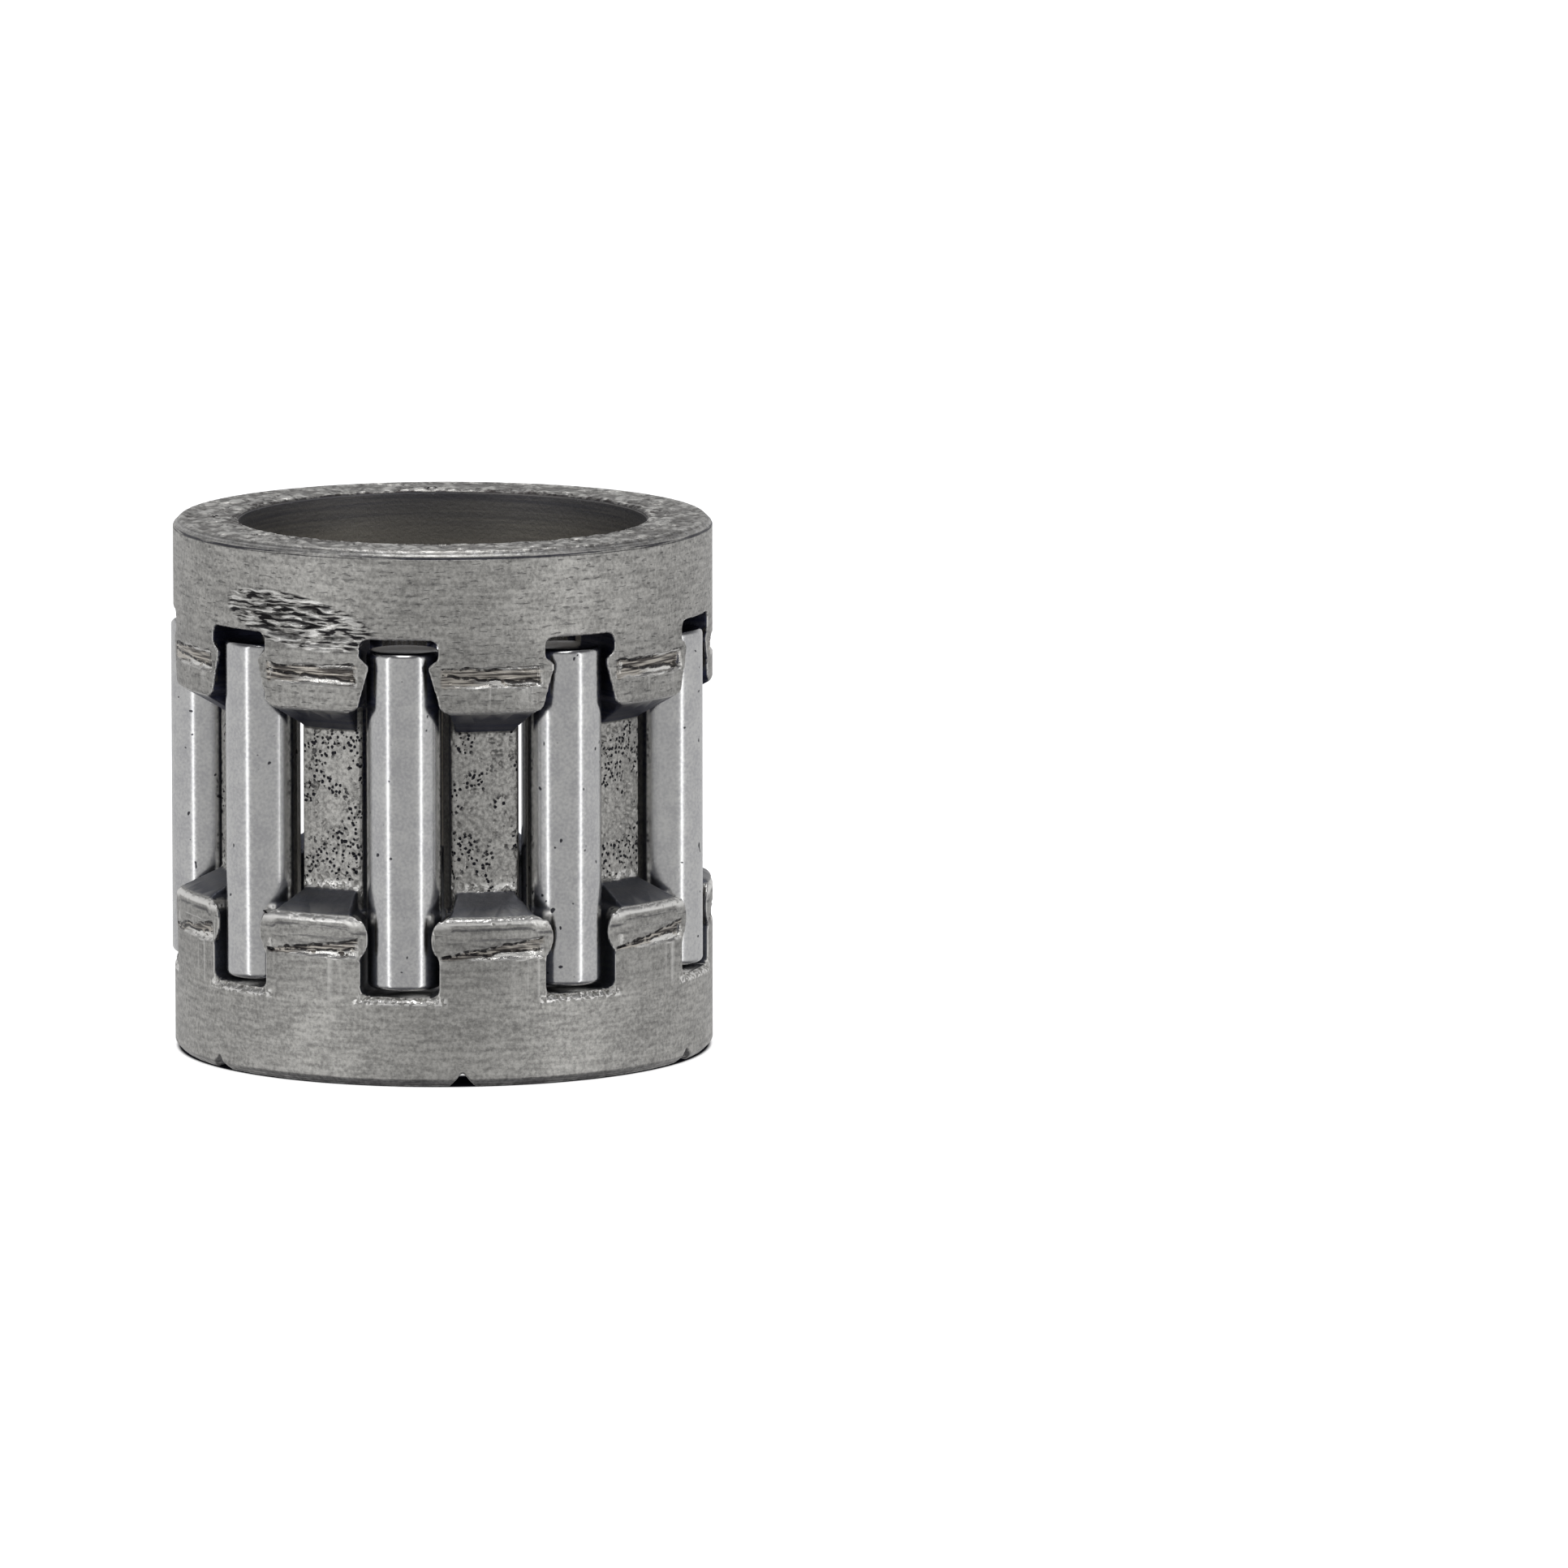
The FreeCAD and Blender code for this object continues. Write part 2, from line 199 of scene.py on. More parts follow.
def coordinates(tree, kind):
    """Texture coordinates of one kind."""
    return Socket(tree, tree.nodes.new("ShaderNodeTexCoord").outputs[kind])


def new_metal(name):
    """Material of bare metal, its shader node and its place on the piece in millimetres."""
    material = bpy.data.materials.new(name)
    material.use_nodes = True
    shader = material.node_tree.nodes["Principled BSDF"]
    shader.inputs["Metallic"].default_value = 1.0
    place = coordinates(material.node_tree, "Object")
    millimetres = place.node("ShaderNodeVectorMath", {"operation": "SCALE"},
                             {0: place, "Scale": 1 / MM})
    return material, shader, millimetres


def speckle(place, scale, detail=2.0, roughness=0.5):
    """Noise from 0 to 1 with about `scale` cells to a unit."""
    inputs = {"Vector": place, "Scale": scale, "Detail": detail, "Roughness": roughness}
    return place.node("ShaderNodeTexNoise", {}, inputs)


def wire(shader, key, value):
    """Feed a shader socket with an expression."""
    value.tree.links.new(value.link, shader.inputs[key])


def separate(vector):
    """The three numbers of a vector."""
    parts = vector.tree.nodes.new("ShaderNodeSeparateXYZ")
    vector.tree.links.new(vector.link, parts.inputs[0])
    return [Socket(vector.tree, output) for output in parts.outputs]


def joined(place, *numbers):
    """Vector of up to three numbers."""
    return place.node("ShaderNodeCombineXYZ", {}, dict(enumerate(numbers)))


def stored(place, name):
    """Number that the mesh holds at each vertex under a name."""
    return place.node("ShaderNodeAttribute", {"attribute_name": name}, {}, output="Fac")


def uneven(place, relief, depth):
    """Bump of a relief whose 1 is `depth` millimetres high."""
    inputs = {"Strength": 1.0, "Distance": depth * MM, "Height": relief}
    return place.node("ShaderNodeBump", {}, inputs)


dull_steel = (0.25, 0.245, 0.235, 1)
tumbled_steel = (0.64, 0.63, 0.60, 1)
dash_grey = (0.10, 0.10, 0.10, 1)
land_grey = (0.08, 0.08, 0.08, 1)
burnished_dark = (0.07, 0.06, 0.055, 1)
burnished_light = (0.60, 0.56, 0.50, 1)
score_shade_black = (0.03, 0.028, 0.03, 1)
fold_shade_black = (0.05, 0.05, 0.06, 1)
pit_shade_black = (0.02, 0.02, 0.025, 1)
burr_highlight_white = (0.88, 0.87, 0.84, 1)
lower_wall_shade = (0.11, 0.118, 0.15, 1)
upper_wall_shade = (0.042, 0.048, 0.10, 1)
broached_wall = (0.16, 0.16, 0.17, 1)
bore_mouth_shade = (0.15, 0.15, 0.165, 1)
bore_brown = (0.42, 0.395, 0.35, 1)
pebble_highlight_white = (0.85, 0.84, 0.80, 1)
crevice_shade_black = (0.05, 0.042, 0.04, 1)
chamfer_dark_reflection = (0.16, 0.16, 0.18, 1)
chamfer_highlight_white = (0.85, 0.85, 0.85, 1)
chamfer_edge_shade_black = (0.03, 0.03, 0.045, 1)


def groove_marks(place, run, up, middle, upper_line, lower_line):
    """Masks of one pressed groove: its burnished floor, dark lines of painted shade along its scores, and
    glints of painted highlight.

    A line is (height, rise): where it starts at the left and how far it climbs to the right,
    both as shares of half the groove's width.
    """
    sway = speckle(place, 2.5, 2.0) - 0.5
    height = (up - middle) / groove_half + sway * 0.9
    inside = run.maths("ABSOLUTE").between(1.02, 0.94)
    top = height - (upper_line[0] + run * upper_line[1])
    bottom = height - (lower_line[0] + run * lower_line[1])
    grit = speckle(place, 6.0, 2.0)
    floor = top.between(0.05, -0.1) * height.between(-1.05, -0.85) * inside
    # Painted shade: dark lines along the groove's upper and lower scores. Painted highlights: glints below
    # the lower one.
    top_score_shade = top.maths("ABSOLUTE").between(0.16, 0.06)
    score_shade = top_score_shade + bottom.maths("ABSOLUTE").between(0.18, 0.07)
    below = bottom.between(-0.05, -0.2) * height.between(-1.15, -0.95)
    glints = below * run.between(-0.5, 0.2) * grit.between(0.34, 0.44)
    return floor, score_shade * inside * grit.between(0.34, 0.5), glints * inside


def cage_steel():
    """Satin tumbled steel: fine grain, streaks round the ring, pitted webs, burnished grooves, with painted
    shade and highlights.
    """
    material, shader, place = new_metal("cage_steel")
    across, away, up = separate(place)
    radius = (across * across + away * away).maths("SQRT")
    turns = away.maths("ARCTAN2", across) * (windows / (2 * math.pi))
    degrees_off = turns * roller_step - patch_angle
    round_ring = turns * roller_pitch
    from_roller = ((turns + 0.5).maths("FRACT") - 0.5) * roller_pitch
    from_bar = (turns.maths("FRACT") - 0.5) * roller_pitch
    height = up.maths("ABSOLUTE")
    walls, edge, bore = (stored(place, name) for name in ("wall", "edge", "bore"))
    # The slopes take the walls' painted shade.
    upper_slope = up.within(web_top - 0.03, web_top, land_top + 0.02, land_top + 0.05)
    lower_slope = up.within(land_low - 0.05, land_low - 0.02, web_low, web_low + 0.03)
    slope = (upper_slope * 0.9 + lower_slope * 0.85) * radius.between(web_radius + 0.02, web_radius + 0.05)
    slope = slope * radius.between(cage_radius - 0.03, cage_radius - 0.07)
    walls = walls.maths("MAXIMUM", slope)
    skin = radius.between(cage_radius - 0.2, cage_radius - 0.1) * (1 - walls)
    outside = radius.between(cage_radius - 0.4, cage_radius - 0.3)
    on_web = radius.between(web_radius + 0.1, web_radius + 0.05) * (1 - walls)
    on_web = on_web * radius.between(web_radius - 0.12, web_radius - 0.08)

    # Grain of the tumbled skin, with short dark dashes round the upper ring.
    grain = speckle(place, 13.0, 3.0, 0.65)
    cloud = speckle(place, 1.3, 2.0)
    streaks = speckle(joined(place, round_ring * 1.6, up * 10.0), 1.0, 3.0, 0.6)
    short = speckle(joined(place, round_ring * 4.0, up * 17.0), 1.0, 1.0)
    dashes = short.between(0.38, 0.28) * skin * up.between(-0.5, 1.5)
    tone = grain * 0.5 + (grain - 0.5) * on_web * 0.25 + streaks * skin * 0.35
    tone = tone + cloud * 0.15 + (1 - skin) * 0.17
    colour = tone.between(0.33, 0.67).blend(dull_steel, tumbled_steel)
    colour = (dashes * 0.5).blend(colour, dash_grey)
    land = skin * height.between(window_top + 0.2, window_top - 0.3)
    colour = (land * 0.16).blend(colour, land_grey)

    # Torn patch and pressed grooves: burnished groove floors, painted shade in the scores and in the torn
    # patch's sunk gouges, and painted highlights on the ridges between.
    off_middle = degrees_off / patch_spread
    off_height = (up - patch_height + degrees_off * patch_slope) / patch_reach
    torn = (off_middle * off_middle + off_height * off_height).between(1.0, 0.3) * outside
    drift = speckle(place, 1.8, 1.0) * 2.0
    lines = speckle(joined(place, round_ring * 2.5, up * 15.0 + drift, 5.0), 1.0, 1.0, 0.4)
    sunk_shade = radius.between(cage_radius - 0.035, cage_radius - 0.07) * skin * torn.between(0.02, 0.1)
    shade_lines = torn.between(0.02, 0.4) * lines.between(0.48, 0.43)
    highlight_lines = torn.between(0.02, 0.4) * lines.between(0.55, 0.60) * 0.8
    run = from_bar / groove_span
    rubbed = speckle(joined(place, round_ring * 1.2, up * 22.0, 3.3), 1.0, 2.0, 0.5)
    upper = groove_marks(place, run, up, groove_top, (0.75, 0.12), (-0.3, -0.35))
    lower = groove_marks(place, run, up, groove_low, (0.05, 0.75), (-0.45, 0.25))
    floor, score_shade, glints = (one + other for one, other in zip(upper, lower))
    burnish = rubbed.between(0.42, 0.60).blend(burnished_dark, burnished_light)
    colour = (floor * 0.9 * skin).blend(colour, burnish)
    # Painted shade: the scores, the torn patch's dark lines and its sunk gouges are painted near black.
    scored = (score_shade * skin * 0.95).maths("MAXIMUM", shade_lines).maths("MAXIMUM", sunk_shade * 0.7)
    colour = scored.blend(colour, score_shade_black)

    # Painted highlights on the burrs along the lower lands, under the windows and at the webs' lower ends,
    # painted shade in a fold under the lands' burrs, and crowds of pits on the webs, painted dark as shade.
    chips = speckle(place, 8.0, 1.0)
    corner = from_bar.maths("ABSOLUTE").between(0.75, 0.95) * 0.1
    # Painted highlight along the rolled upper edge of each lower land.
    rolled = up.within(land_low - 0.17 - corner, land_low - 0.12, land_low - 0.03, land_low + 0.02)
    # Painted shade in a thin dark band under each rolled edge.
    fold_shade = up.within(land_low - 0.27 - corner, land_low - 0.24 - corner,
                     land_low - 0.21 - corner, land_low - 0.18 - corner)
    fold_shade = fold_shade * outside * streaks.between(0.6, 0.45)
    # Painted highlights in flecks under each window's mouth.
    sill = up.within(-window_top - 0.19, -window_top - 0.14, -window_top - 0.03, -window_top + 0.02)
    sill = sill * from_roller.maths("ABSOLUTE").between(window_side + 0.2, window_side + 0.1)
    sill = sill * speckle(place, 13.0, 0.0).between(0.42, 0.54)
    ragged_end = up.between(web_low + 0.2, web_low + 0.1) * chips.between(0.47, 0.56) * on_web
    burr_highlights = (rolled * chips.between(0.25, 0.4) + sill) * outside + ragged_end
    bright = burr_highlights.maths("MAXIMUM", glints * skin).maths("MAXIMUM", highlight_lines)
    # Painted highlight along the windows' outer edges.
    edge_highlight = edge * height.between(window_top + 0.12, window_top + 0.05) * 0.8
    bright = bright.maths("MAXIMUM", edge_highlight)
    # Painted shade in the fold.
    colour = (fold_shade * 0.6).blend(colour, fold_shade_black)
    crowd = speckle(place, 1.4, 1.0) + (height - 1.0).maths("ABSOLUTE").between(0.7, 0.1) * 0.10
    cells = place.node("ShaderNodeTexVoronoi", {"feature": "F1"}, {"Vector": place, "Scale": 11.0})
    # Pits on the webs, painted near black as the shade in them.
    shaded_pits = (cells + grain * 0.5 - 0.25).between(0.40, 0.30) * crowd.between(0.49, 0.58) * on_web

    # Painted shade on the walls of the windows, slopes and notches, darker and bluer on the upper ones, and
    # on the bore, darkest at its mouths.
    lathe = speckle(joined(place, turns, up * 14.0), 1.0).between(0.3, 0.7)
    # Painted shade: lower walls lighter, upper walls darker and bluer.
    wall = up.between(-0.5, 0.5).blend(lower_wall_shade, upper_wall_shade)
    colour = walls.blend(colour, (lathe * 0.5).blend(wall, broached_wall))
    # Painted shade at each mouth of the bore, fading into brown steel further in.
    depth_in = height.between(cage_top - 0.1, cage_top - 1.1) * 0.7 + lathe * 0.3
    colour = bore.blend(colour, depth_in.blend(bore_mouth_shade, bore_brown))
    # Painted shade in the pits.
    colour = shaded_pits.blend(colour, pit_shade_black)
    # Painted highlights in near white: burrs, glints, bright lines and window edges.
    colour = bright.blend(colour, burr_highlight_white)

    # End faces with painted highlights on the pebbles and painted shade in the crevices, turned chamfers
    # painted with light and dark reflections, and a painted dark line of shade at the upper one.
    turned = (radius + height).between(cage_radius + cage_top - chamfer * 1.05,
                                       cage_radius + cage_top - chamfer * 0.95)
    hoops = joined(place, round_ring * 0.7, (radius - height) * 13.0, 1.0)
    ridges = speckle(hoops, 1.0, 2.0, 0.5)
    end_face = height.between(cage_top - 0.08, cage_top - 0.05) * (1 - turned)
    lip_of_bore = radius.between(bore_radius + 0.45, bore_radius + 0.05)
    pebbles = speckle(place, 4.2, 2.0, 0.55)
    # Painted shade: the lowest parts of the end faces and the cracks between pebbles go near black. Painted
    # highlights: the pebbles' tops go white.
    deep_crevice_shade = height.between(cage_top - 0.02, cage_top - 0.04) * end_face * 0.6
    crevice_shade = pebbles.between(0.47, 0.41) * (lip_of_bore * 0.5 + 0.4) * end_face
    crevice_shade = crevice_shade.maths("MAXIMUM", deep_crevice_shade)
    pebble_highlights = pebbles.between(0.50, 0.58) * (lip_of_bore * 0.3 + 0.5) * end_face
    colour = pebble_highlights.blend(colour, pebble_highlight_white)
    colour = crevice_shade.blend(colour, crevice_shade_black)
    top_end = up.between(-1.0, 1.0)
    # Painted reflections on the turned chamfers: rings of light and dark, stronger on the upper chamfer.
    chamfer_reflections = ridges.between(0.4, 0.55).blend(chamfer_dark_reflection, chamfer_highlight_white)
    colour = (turned * (top_end * 0.4 + 0.4)).blend(colour, chamfer_reflections)
    # Painted shade in a broken dark line where the upper chamfer meets the outside.
    chamfer_edge_shade = height.within(rim_height - 0.05, rim_height - 0.02, rim_height, rim_height + 0.03)
    chamfer_edge_shade = chamfer_edge_shade * outside * top_end
    colour = (chamfer_edge_shade * ridges.between(0.62, 0.5) * 0.9).blend(colour, chamfer_edge_shade_black)
    wire(shader, "Base Color", colour)
    satin = 0.37 + grain * 0.14 + cloud * 0.06 - turned * 0.2 - floor * skin * 0.12
    wire(shader, "Roughness", satin - bright * 0.15)
    relief = grain * 1.2 + streaks * skin * 0.8 - shaded_pits * 3.0 + rubbed * floor * skin * 3.0
    relief = relief + lines * torn * 9.0 - score_shade * skin * 3.0 + chips * burr_highlights * 3.0 - dashes
    relief = relief + pebbles * end_face * 5.0 + ridges * turned * 3.0 - chamfer_edge_shade * 3.0
    wire(shader, "Normal", uneven(place, relief, 0.006))
    return material


def crater(spot):
    """Depth of the pebbled skin of an end face: crevices between lumps, and shallow craters."""
    from_crevice = abs(noise.noise(spot * 2.6)) * 0.12
    lumps = noise.noise(spot * 4.5 + Vector((9.1, 0, 0)))
    return 0.008 + max(0.035 - from_crevice, 0) + max(lumps - 0.15, 0) * 0.06


def tear(angle, height):
    """Share of the torn patch in the upper ring: 1 in its middle and 0 outside it."""
    off_middle = (angle - patch_angle) / patch_spread
    off_height = (height - patch_height + (angle - patch_angle) * patch_slope) / patch_reach
    return fade(off_middle ** 2 + off_height ** 2, 1.0, 0.3)


def gouge(angle, height):
    """Depth of the ragged gouges, which run round the ring."""
    drift = noise.noise(Vector((angle * 0.12, height * 1.5, 4.2))) * 0.7
    ripple = noise.noise(Vector((angle * 0.18, height * 9.0 + drift, 1.7)))
    return max(0.03 + ripple * 0.13, 0)


def press(across, height):
    """Depth of the pressed grooves of one bar, `across` being degrees from its middle."""
    depth = 0
    for middle, fullest in ((groove_top, 0.11), (groove_low, 0.085)):
        wander = noise.noise(Vector((across * 0.25, middle, 2.2))) * 0.05
        off = (height - middle - wander) / groove_half
        if abs(off) < 1.3:
            floor_shape = fade(off, 1.05, 0.75) * (0.35 + 0.65 * fade(off, 1.0, -0.7))
            end_shape = fade(off, -1.1, -0.8)
            run = fade(across, -11.0, 9.0) * 0.75 + 0.25
            ends = fade(abs(across), 11.4, 9.8)
            scratch = noise.noise(Vector((across * 0.3, height * 11.0, 7.7))) * 0.03
            depth += (fullest * floor_shape * end_shape * run + scratch * end_shape) * ends
    return max(depth, 0)


def nibble(spot, radius, across):
    """Depth of the small broken chips along the lower edge of each window's mouth."""
    side = radius * math.sin(math.radians(across))
    if abs(side) > window_side or not -window_top - 0.14 < spot.z < -window_top + 0.05:
        return 0
    chips = noise.noise(Vector((side * 7.0, spot.y * 2.0, 3.0)))
    return fade(spot.z, -window_top - 0.13, -window_top - 0.02) * (0.07 + max(chips, 0) * 0.12)


def weather(relief):
    """Work the marks of making and tumbling into the cage's skin, vertex by vertex."""
    for vert in relief.verts:
        spot = vert.co
        radius = math.hypot(spot.x, spot.y)
        outward = Vector((spot.x, spot.y, 0)) / radius
        facing_out = vert.normal.dot(outward)
        for turned_radius in turned_sizes:
            if abs(radius - turned_radius) < 0.03 and abs(facing_out) > 0.95:
                vert.co += outward * (turned_radius - radius - inset)
                radius = turned_radius
        angle = math.degrees(math.atan2(spot.y, spot.x))
        from_roller = (angle + roller_step / 2) % roller_step - roller_step / 2
        from_bar = angle % roller_step - roller_step / 2
        if abs(spot.z) > cage_top - 0.02 and abs(vert.normal.z) > 0.5:
            inside_rim = fade(radius, cage_radius - chamfer, cage_radius - chamfer - 0.15)
            spot.z -= math.copysign(crater(spot) * inside_rim, spot.z)
        elif radius > cage_radius - 0.13 and abs(spot.z) < cage_top - chamfer and facing_out > 0.5:
            torn = tear(angle, spot.z)
            depth = torn * gouge(angle, spot.z) if torn > 0 else 0
            off_groove = min(abs(spot.z - groove_top), abs(spot.z - groove_low))
            if abs(from_bar) < 12.0 and off_groove < groove_half * 1.4:
                depth += press(from_bar, spot.z) - (cage_radius - radius)
            depth += nibble(spot, radius, from_roller)
            below_edge = (land_low - spot.z) / rolled_height
            if 0 <= below_edge < 1:
                depth += rolled_depth * (1 - below_edge) ** 2
            vert.co -= outward * depth
        elif abs(radius - web_radius) < 0.05 and web_low < spot.z < web_top and facing_out > 0.6:
            spread = noise.noise(spot * 1.1 + Vector((0, 0, 5.0)))
            pit = fade(noise.noise(spot * 8.0) + spread * 0.35, 0.3, 0.55)
            vert.co -= outward * pit * pit_depth


def true_normals(mesh):
    """Shading normals: exactly radial on the turned cylinders, so that they show no facets."""
    radial = [Vector((vert.co.x, vert.co.y, 0)).normalized() for vert in mesh.vertices]
    smooth = [vert.normal.copy() for vert in mesh.vertices]
    normals = [None] * len(mesh.loops)
    for face in mesh.polygons:
        outward = Vector((face.center.x, face.center.y, 0))
        radius = outward.length / MM
        side = face.normal.dot(outward.normalized())
        off_size = min(abs(radius - size) for size in turned_sizes)
        turned = off_size < 0.008 and abs(side) > 0.985
        for corner, number in zip(face.loop_indices, face.vertices):
            normals[corner] = radial[number] * math.copysign(1, side) if turned else smooth[number]
    mesh.normals_split_custom_set(normals)


def mark(mesh):
    """Store at each vertex how much of it is wall, bore or window edge, the masks where shade and
    highlights are painted.
    """
    shares = {"wall": [], "bore": [], "edge": []}
    for vert in mesh.vertices:
        spot = vert.co / MM
        radius = math.hypot(spot.x, spot.y)
        facing_out = (vert.normal.x * spot.x + vert.normal.y * spot.y) / radius
        inner = fade(abs(spot.z), 4.6, 4.3)
        notch = fade(spot.z, -cage_top + 0.35, -cage_top + 0.25) * fade(spot.z, -cage_top, -cage_top + 0.04)
        inside_rim = fade(radius, cage_radius - chamfer, cage_radius - chamfer - 0.05)
        notch *= inside_rim * fade(facing_out, -0.9, -0.6)
        steep = 1 - fade(abs(facing_out), 0.3, 0.5)
        shares["wall"].append(steep * max(inner, notch))
        shares["bore"].append(fade(facing_out, -0.3, -0.7))
        on_edge = fade(facing_out, 0.95, 0.85) * fade(facing_out, 0.4, 0.6)
        shares["edge"].append(on_edge * inner * fade(radius, cage_radius - 0.08, cage_radius - 0.04))
    for name, values in shares.items():
        mesh.attributes.new(name, "FLOAT", "POINT").data.foreach_set("value", values)


# The skin is laid over the cage in millimetres, smoothed, worked, thinned and put back in metres.
shell = bmesh.new()
shell.from_mesh(frame["nodes"]["cage"].data)
bmesh.ops.remove_doubles(shell, verts=shell.verts, dist=1e-8)
bmesh.ops.scale(shell, vec=(1 / MM,) * 3, verts=shell.verts)
blank = bpy.data.meshes.new("cage_blank")
shell.to_mesh(blank)
shell.free()
steel = cage_steel()
casting = new_piece("cage_blank", blank, steel)
remesh = casting.modifiers.new("even_skin", "REMESH")
remesh.mode = "VOXEL"
remesh.voxel_size = voxel
tumble = casting.modifiers.new("tumble", "SMOOTH")
tumble.factor = 0.5
tumble.iterations = 3
relief = bmesh.new()
relief.from_mesh(finished_mesh(casting))
relief.normal_update()
weather(relief)
worked = bpy.data.meshes.new("cage_worked")
relief.to_mesh(worked)
relief.free()
casting.modifiers.clear()
casting.data = worked
thinning = casting.modifiers.new("thin", "DECIMATE")
thinning.ratio = triangle_limit / (2 * len(worked.polygons))
cage_mesh = finished_mesh(casting)
bpy.data.objects.remove(casting)
finish = bmesh.new()
finish.from_mesh(cage_mesh)
bmesh.ops.scale(finish, vec=(MM,) * 3, verts=finish.verts)
finish.to_mesh(cage_mesh)
finish.free()
mark(cage_mesh)
cage = new_piece("cage_ring", cage_mesh, steel)
true_normals(cage_mesh)
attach(cage, "cage")
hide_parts("cage")

# ---------------------------------------------------------------------------------------
# Needle rollers: nine pins of hardened bearing steel, ground and polished, with rounded
# ends. Each lies loose in its window, held by the lips outside and the webs inside.
# ---------------------------------------------------------------------------------------
roller_radius = (roller_high.y - roller_low.y) / 2
roller_top = roller_high.z / MM
end_radius = 0.12 * MM
ground_grey = (0.50, 0.50, 0.51, 1)
polished_grey = (0.66, 0.66, 0.65, 1)
nick_and_shade_black = (0.06, 0.06, 0.07, 1)


def roller_steel():
    """Ground and polished steel, a little cloudy, with tiny nicks and painted shade on its upper end face.
    """
    material, shader, place = new_metal("roller_steel")
    # Painted shade on the upper end face, blended near black with the nicks.
    end_face = separate(place)[2].between(roller_top - 0.03, roller_top - 0.01)
    grain = speckle(place, 16.0, 2.0)
    cloud = speckle(place, 2.5, 2.0)
    tone = (grain * 0.6 + cloud * 0.4).between(0.3, 0.7)
    colour = tone.blend(ground_grey, polished_grey)
    nicks = speckle(place, 7.0, 0.0).between(0.185, 0.17)
    colour = (end_face * 0.8).maths("MAXIMUM", nicks).blend(colour, nick_and_shade_black)
    wire(shader, "Base Color", colour)
    wire(shader, "Roughness", 0.16 + grain * 0.05 + cloud * 0.03)
    wire(shader, "Normal", uneven(place, grain, 0.0002))
    return material


def needle(name):
    """A pin of round bar with its end rims rounded over."""
    low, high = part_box(name)
    middle = (low + high) / 2
    bar = bmesh.new()
    bmesh.ops.create_cone(bar, cap_ends=True, segments=64, radius1=roller_radius,
                          radius2=roller_radius, depth=high.z - low.z)
    rims = [edge for edge in bar.edges if abs(edge.verts[0].co.z - edge.verts[1].co.z) < 1e-7]
    bmesh.ops.bevel(bar, geom=rims, offset=end_radius, affect="EDGES", segments=6, profile=0.5,
                    material=-1)
    bmesh.ops.translate(bar, vec=middle, verts=bar.verts)
    mesh = bpy.data.meshes.new(name)
    bar.to_mesh(mesh)
    bar.free()
    return mesh


polished = roller_steel()
for number in range(1, windows + 1):
    node = f"roller_{number}"
    pin = new_piece(f"needle_{number}", needle(node), polished)
    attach(pin, node)
    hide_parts(node)

# ---------------------------------------------------------------------------------------
# Studio: a plain white floor with a painted shadow under the ring, a broad soft light overhead
# and two tall narrow ones that draw the bright lines down the rollers.
# ---------------------------------------------------------------------------------------
camera_azimuth = 19.5
camera_height = 8.5
strip_left = -50.0
strip_right = 52.0
strip_distance = 0.15
strip_width = 0.016
strip_height = 0.26
strip_radiance = 2.1
overhead_height = 0.4
overhead_radiance = 3.0
paper_white = (0.95, 0.95, 0.95, 1)
shaded_paper = (0.02, 0.02, 0.03, 1)
side_grey = (0.66, 0.66, 0.665, 1)
front_grey = (0.54, 0.54, 0.54, 1)
dark_room = (0.12, 0.12, 0.13, 1)


def facing(azimuth, elevation, distance):
    """Place at a distance from the bearing's middle, in a direction as a camera is placed."""
    turn, rise = math.radians(azimuth), math.radians(elevation)
    return distance * Vector((math.sin(turn) * math.cos(rise),
                              -math.cos(turn) * math.cos(rise), math.sin(rise)))


def soft_light(name, place, width, height, radiance):
    """Rectangular softbox that faces the bearing."""
    data = bpy.data.lights.new(name, "AREA")
    data.shape = "RECTANGLE"
    data.size = width
    data.size_y = height
    data.energy = math.pi * width * height * radiance
    light = bpy.data.objects.new(name, data)
    light.location = place
    light.rotation_mode = "QUATERNION"
    light.rotation_quaternion = (-place).to_track_quat("-Z", "Y")
    bpy.context.scene.collection.objects.link(light)
    return light


ground = bmesh.new()
bmesh.ops.create_grid(ground, x_segments=1, y_segments=1, size=4.0)
bmesh.ops.translate(ground, vec=(0, 0, cad_low.z), verts=ground.verts)
floor_mesh = bpy.data.meshes.new("floor")
ground.to_mesh(floor_mesh)
ground.free()
paper = bpy.data.materials.new("white_paper")
paper.use_nodes = True
paper_shader = paper.node_tree.nodes["Principled BSDF"]
paper_shader.inputs["Roughness"].default_value = 1.0
paper_shader.inputs["Specular IOR Level"].default_value = 0.0
flat_x, flat_y = separate(coordinates(paper.node_tree, "Object"))[:2]
from_axis = (flat_x * flat_x + flat_y * flat_y).maths("SQRT") / MM
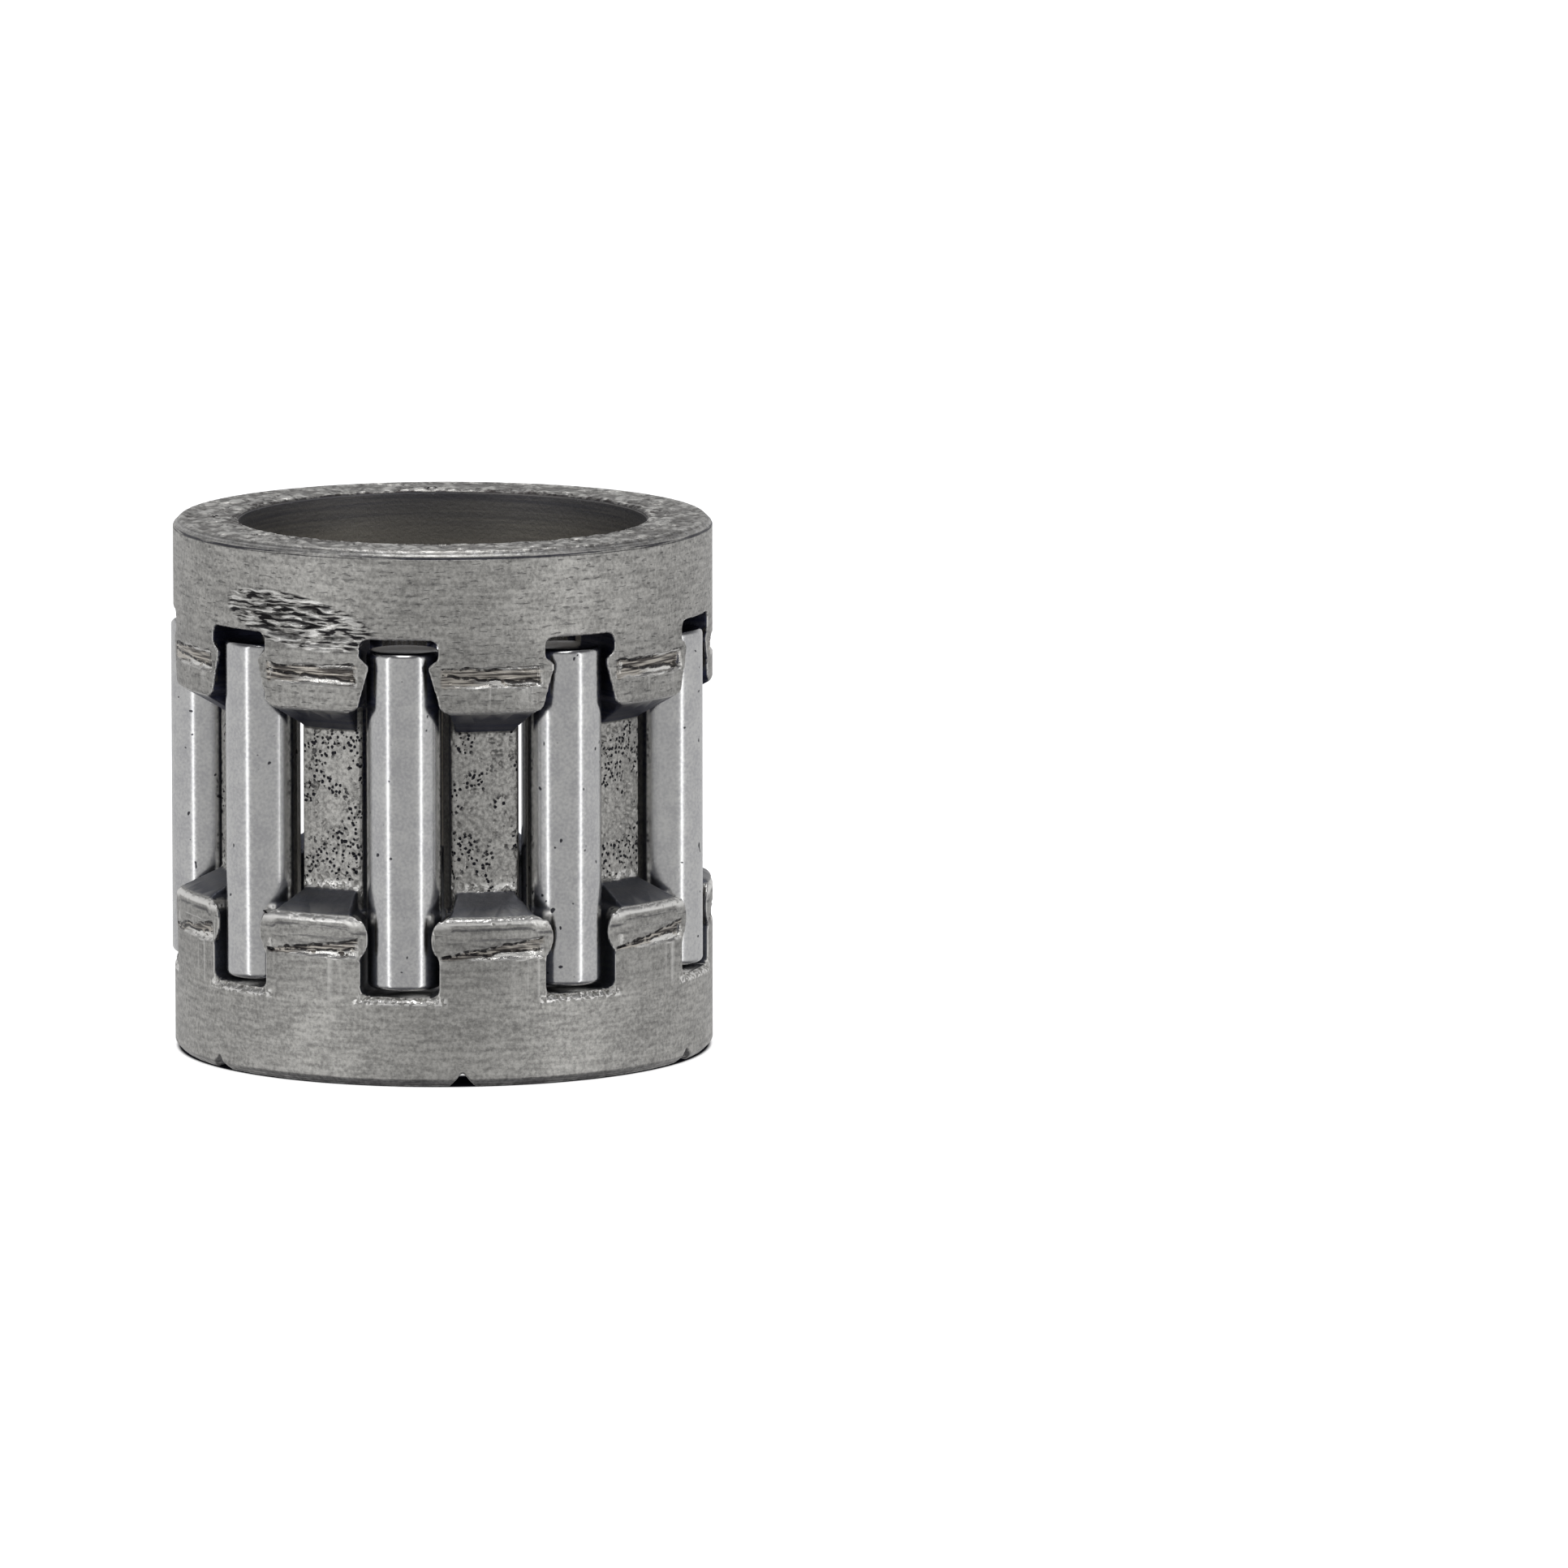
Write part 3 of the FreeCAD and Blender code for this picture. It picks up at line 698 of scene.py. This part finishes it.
# Painted shadow on the floor under the ring: dark and without glow there.
shadow_under_ring = from_axis.within(bore_radius - 0.3, bore_radius, cage_radius - 0.1, cage_radius)
wire(paper_shader, "Base Color", shadow_under_ring.blend(paper_white, shaded_paper))
wire(paper_shader, "Emission Color", shadow_under_ring.blend((1, 1, 1, 1), (0, 0, 0, 1)))
paper_shader.inputs["Emission Strength"].default_value = 0.6
floor = new_piece("floor", floor_mesh, paper)
floor.visible_glossy = False
floor.visible_shadow = False

overhead = soft_light("overhead", Vector((0, 0, overhead_height)), 0.18, 0.5, overhead_radiance)
overhead.rotation_quaternion = Quaternion((0, 0, 1), math.radians(camera_azimuth))
for name, turn in (("strip_left", strip_left), ("strip_right", strip_right)):
    place = facing(camera_azimuth + turn, 0, strip_distance)
    soft_light(name, place, strip_width, strip_height, strip_radiance)
world = bpy.data.worlds.new("studio")
world.use_nodes = True
backdrop = world.node_tree.nodes["Background"]
aim = facing(camera_azimuth, 0, 1.0)
look_x, look_y, look_z = separate(coordinates(world.node_tree, "Generated"))
front = (look_x * aim.x + look_y * aim.y).between(0.6, 0.8)
band = look_z.within(-0.85, -0.3, 0.2, 0.75)
wire(backdrop, "Color", band.blend(dark_room, front.blend(side_grey, front_grey)))
bpy.context.scene.world = world
bpy.context.scene.view_settings.view_transform = "Standard"

# ---------------------------------------------------------------------------------------
# Camera: a long lens far from the bearing, so that its ends hardly differ in size, and a
# little above it. It is turned a little, so that the bearing stands left of the middle.
# ---------------------------------------------------------------------------------------
camera_distance = 60 * cage_radius * MM
focal_length = 370.6
pan = 1.222
tilt = 0.0167
lens = bpy.data.cameras.new("camera")
lens.sensor_width = 36
lens.lens = focal_length
lens.clip_start = 0.01
camera = bpy.data.objects.new("camera", lens)
camera.location = facing(camera_azimuth, camera_height, camera_distance)
camera.rotation_mode = "XYZ"
camera.rotation_euler = (math.radians(90 - camera_height - tilt), 0,
                         math.radians(camera_azimuth - pan))
bpy.context.scene.collection.objects.link(camera)
bpy.context.scene.camera = camera
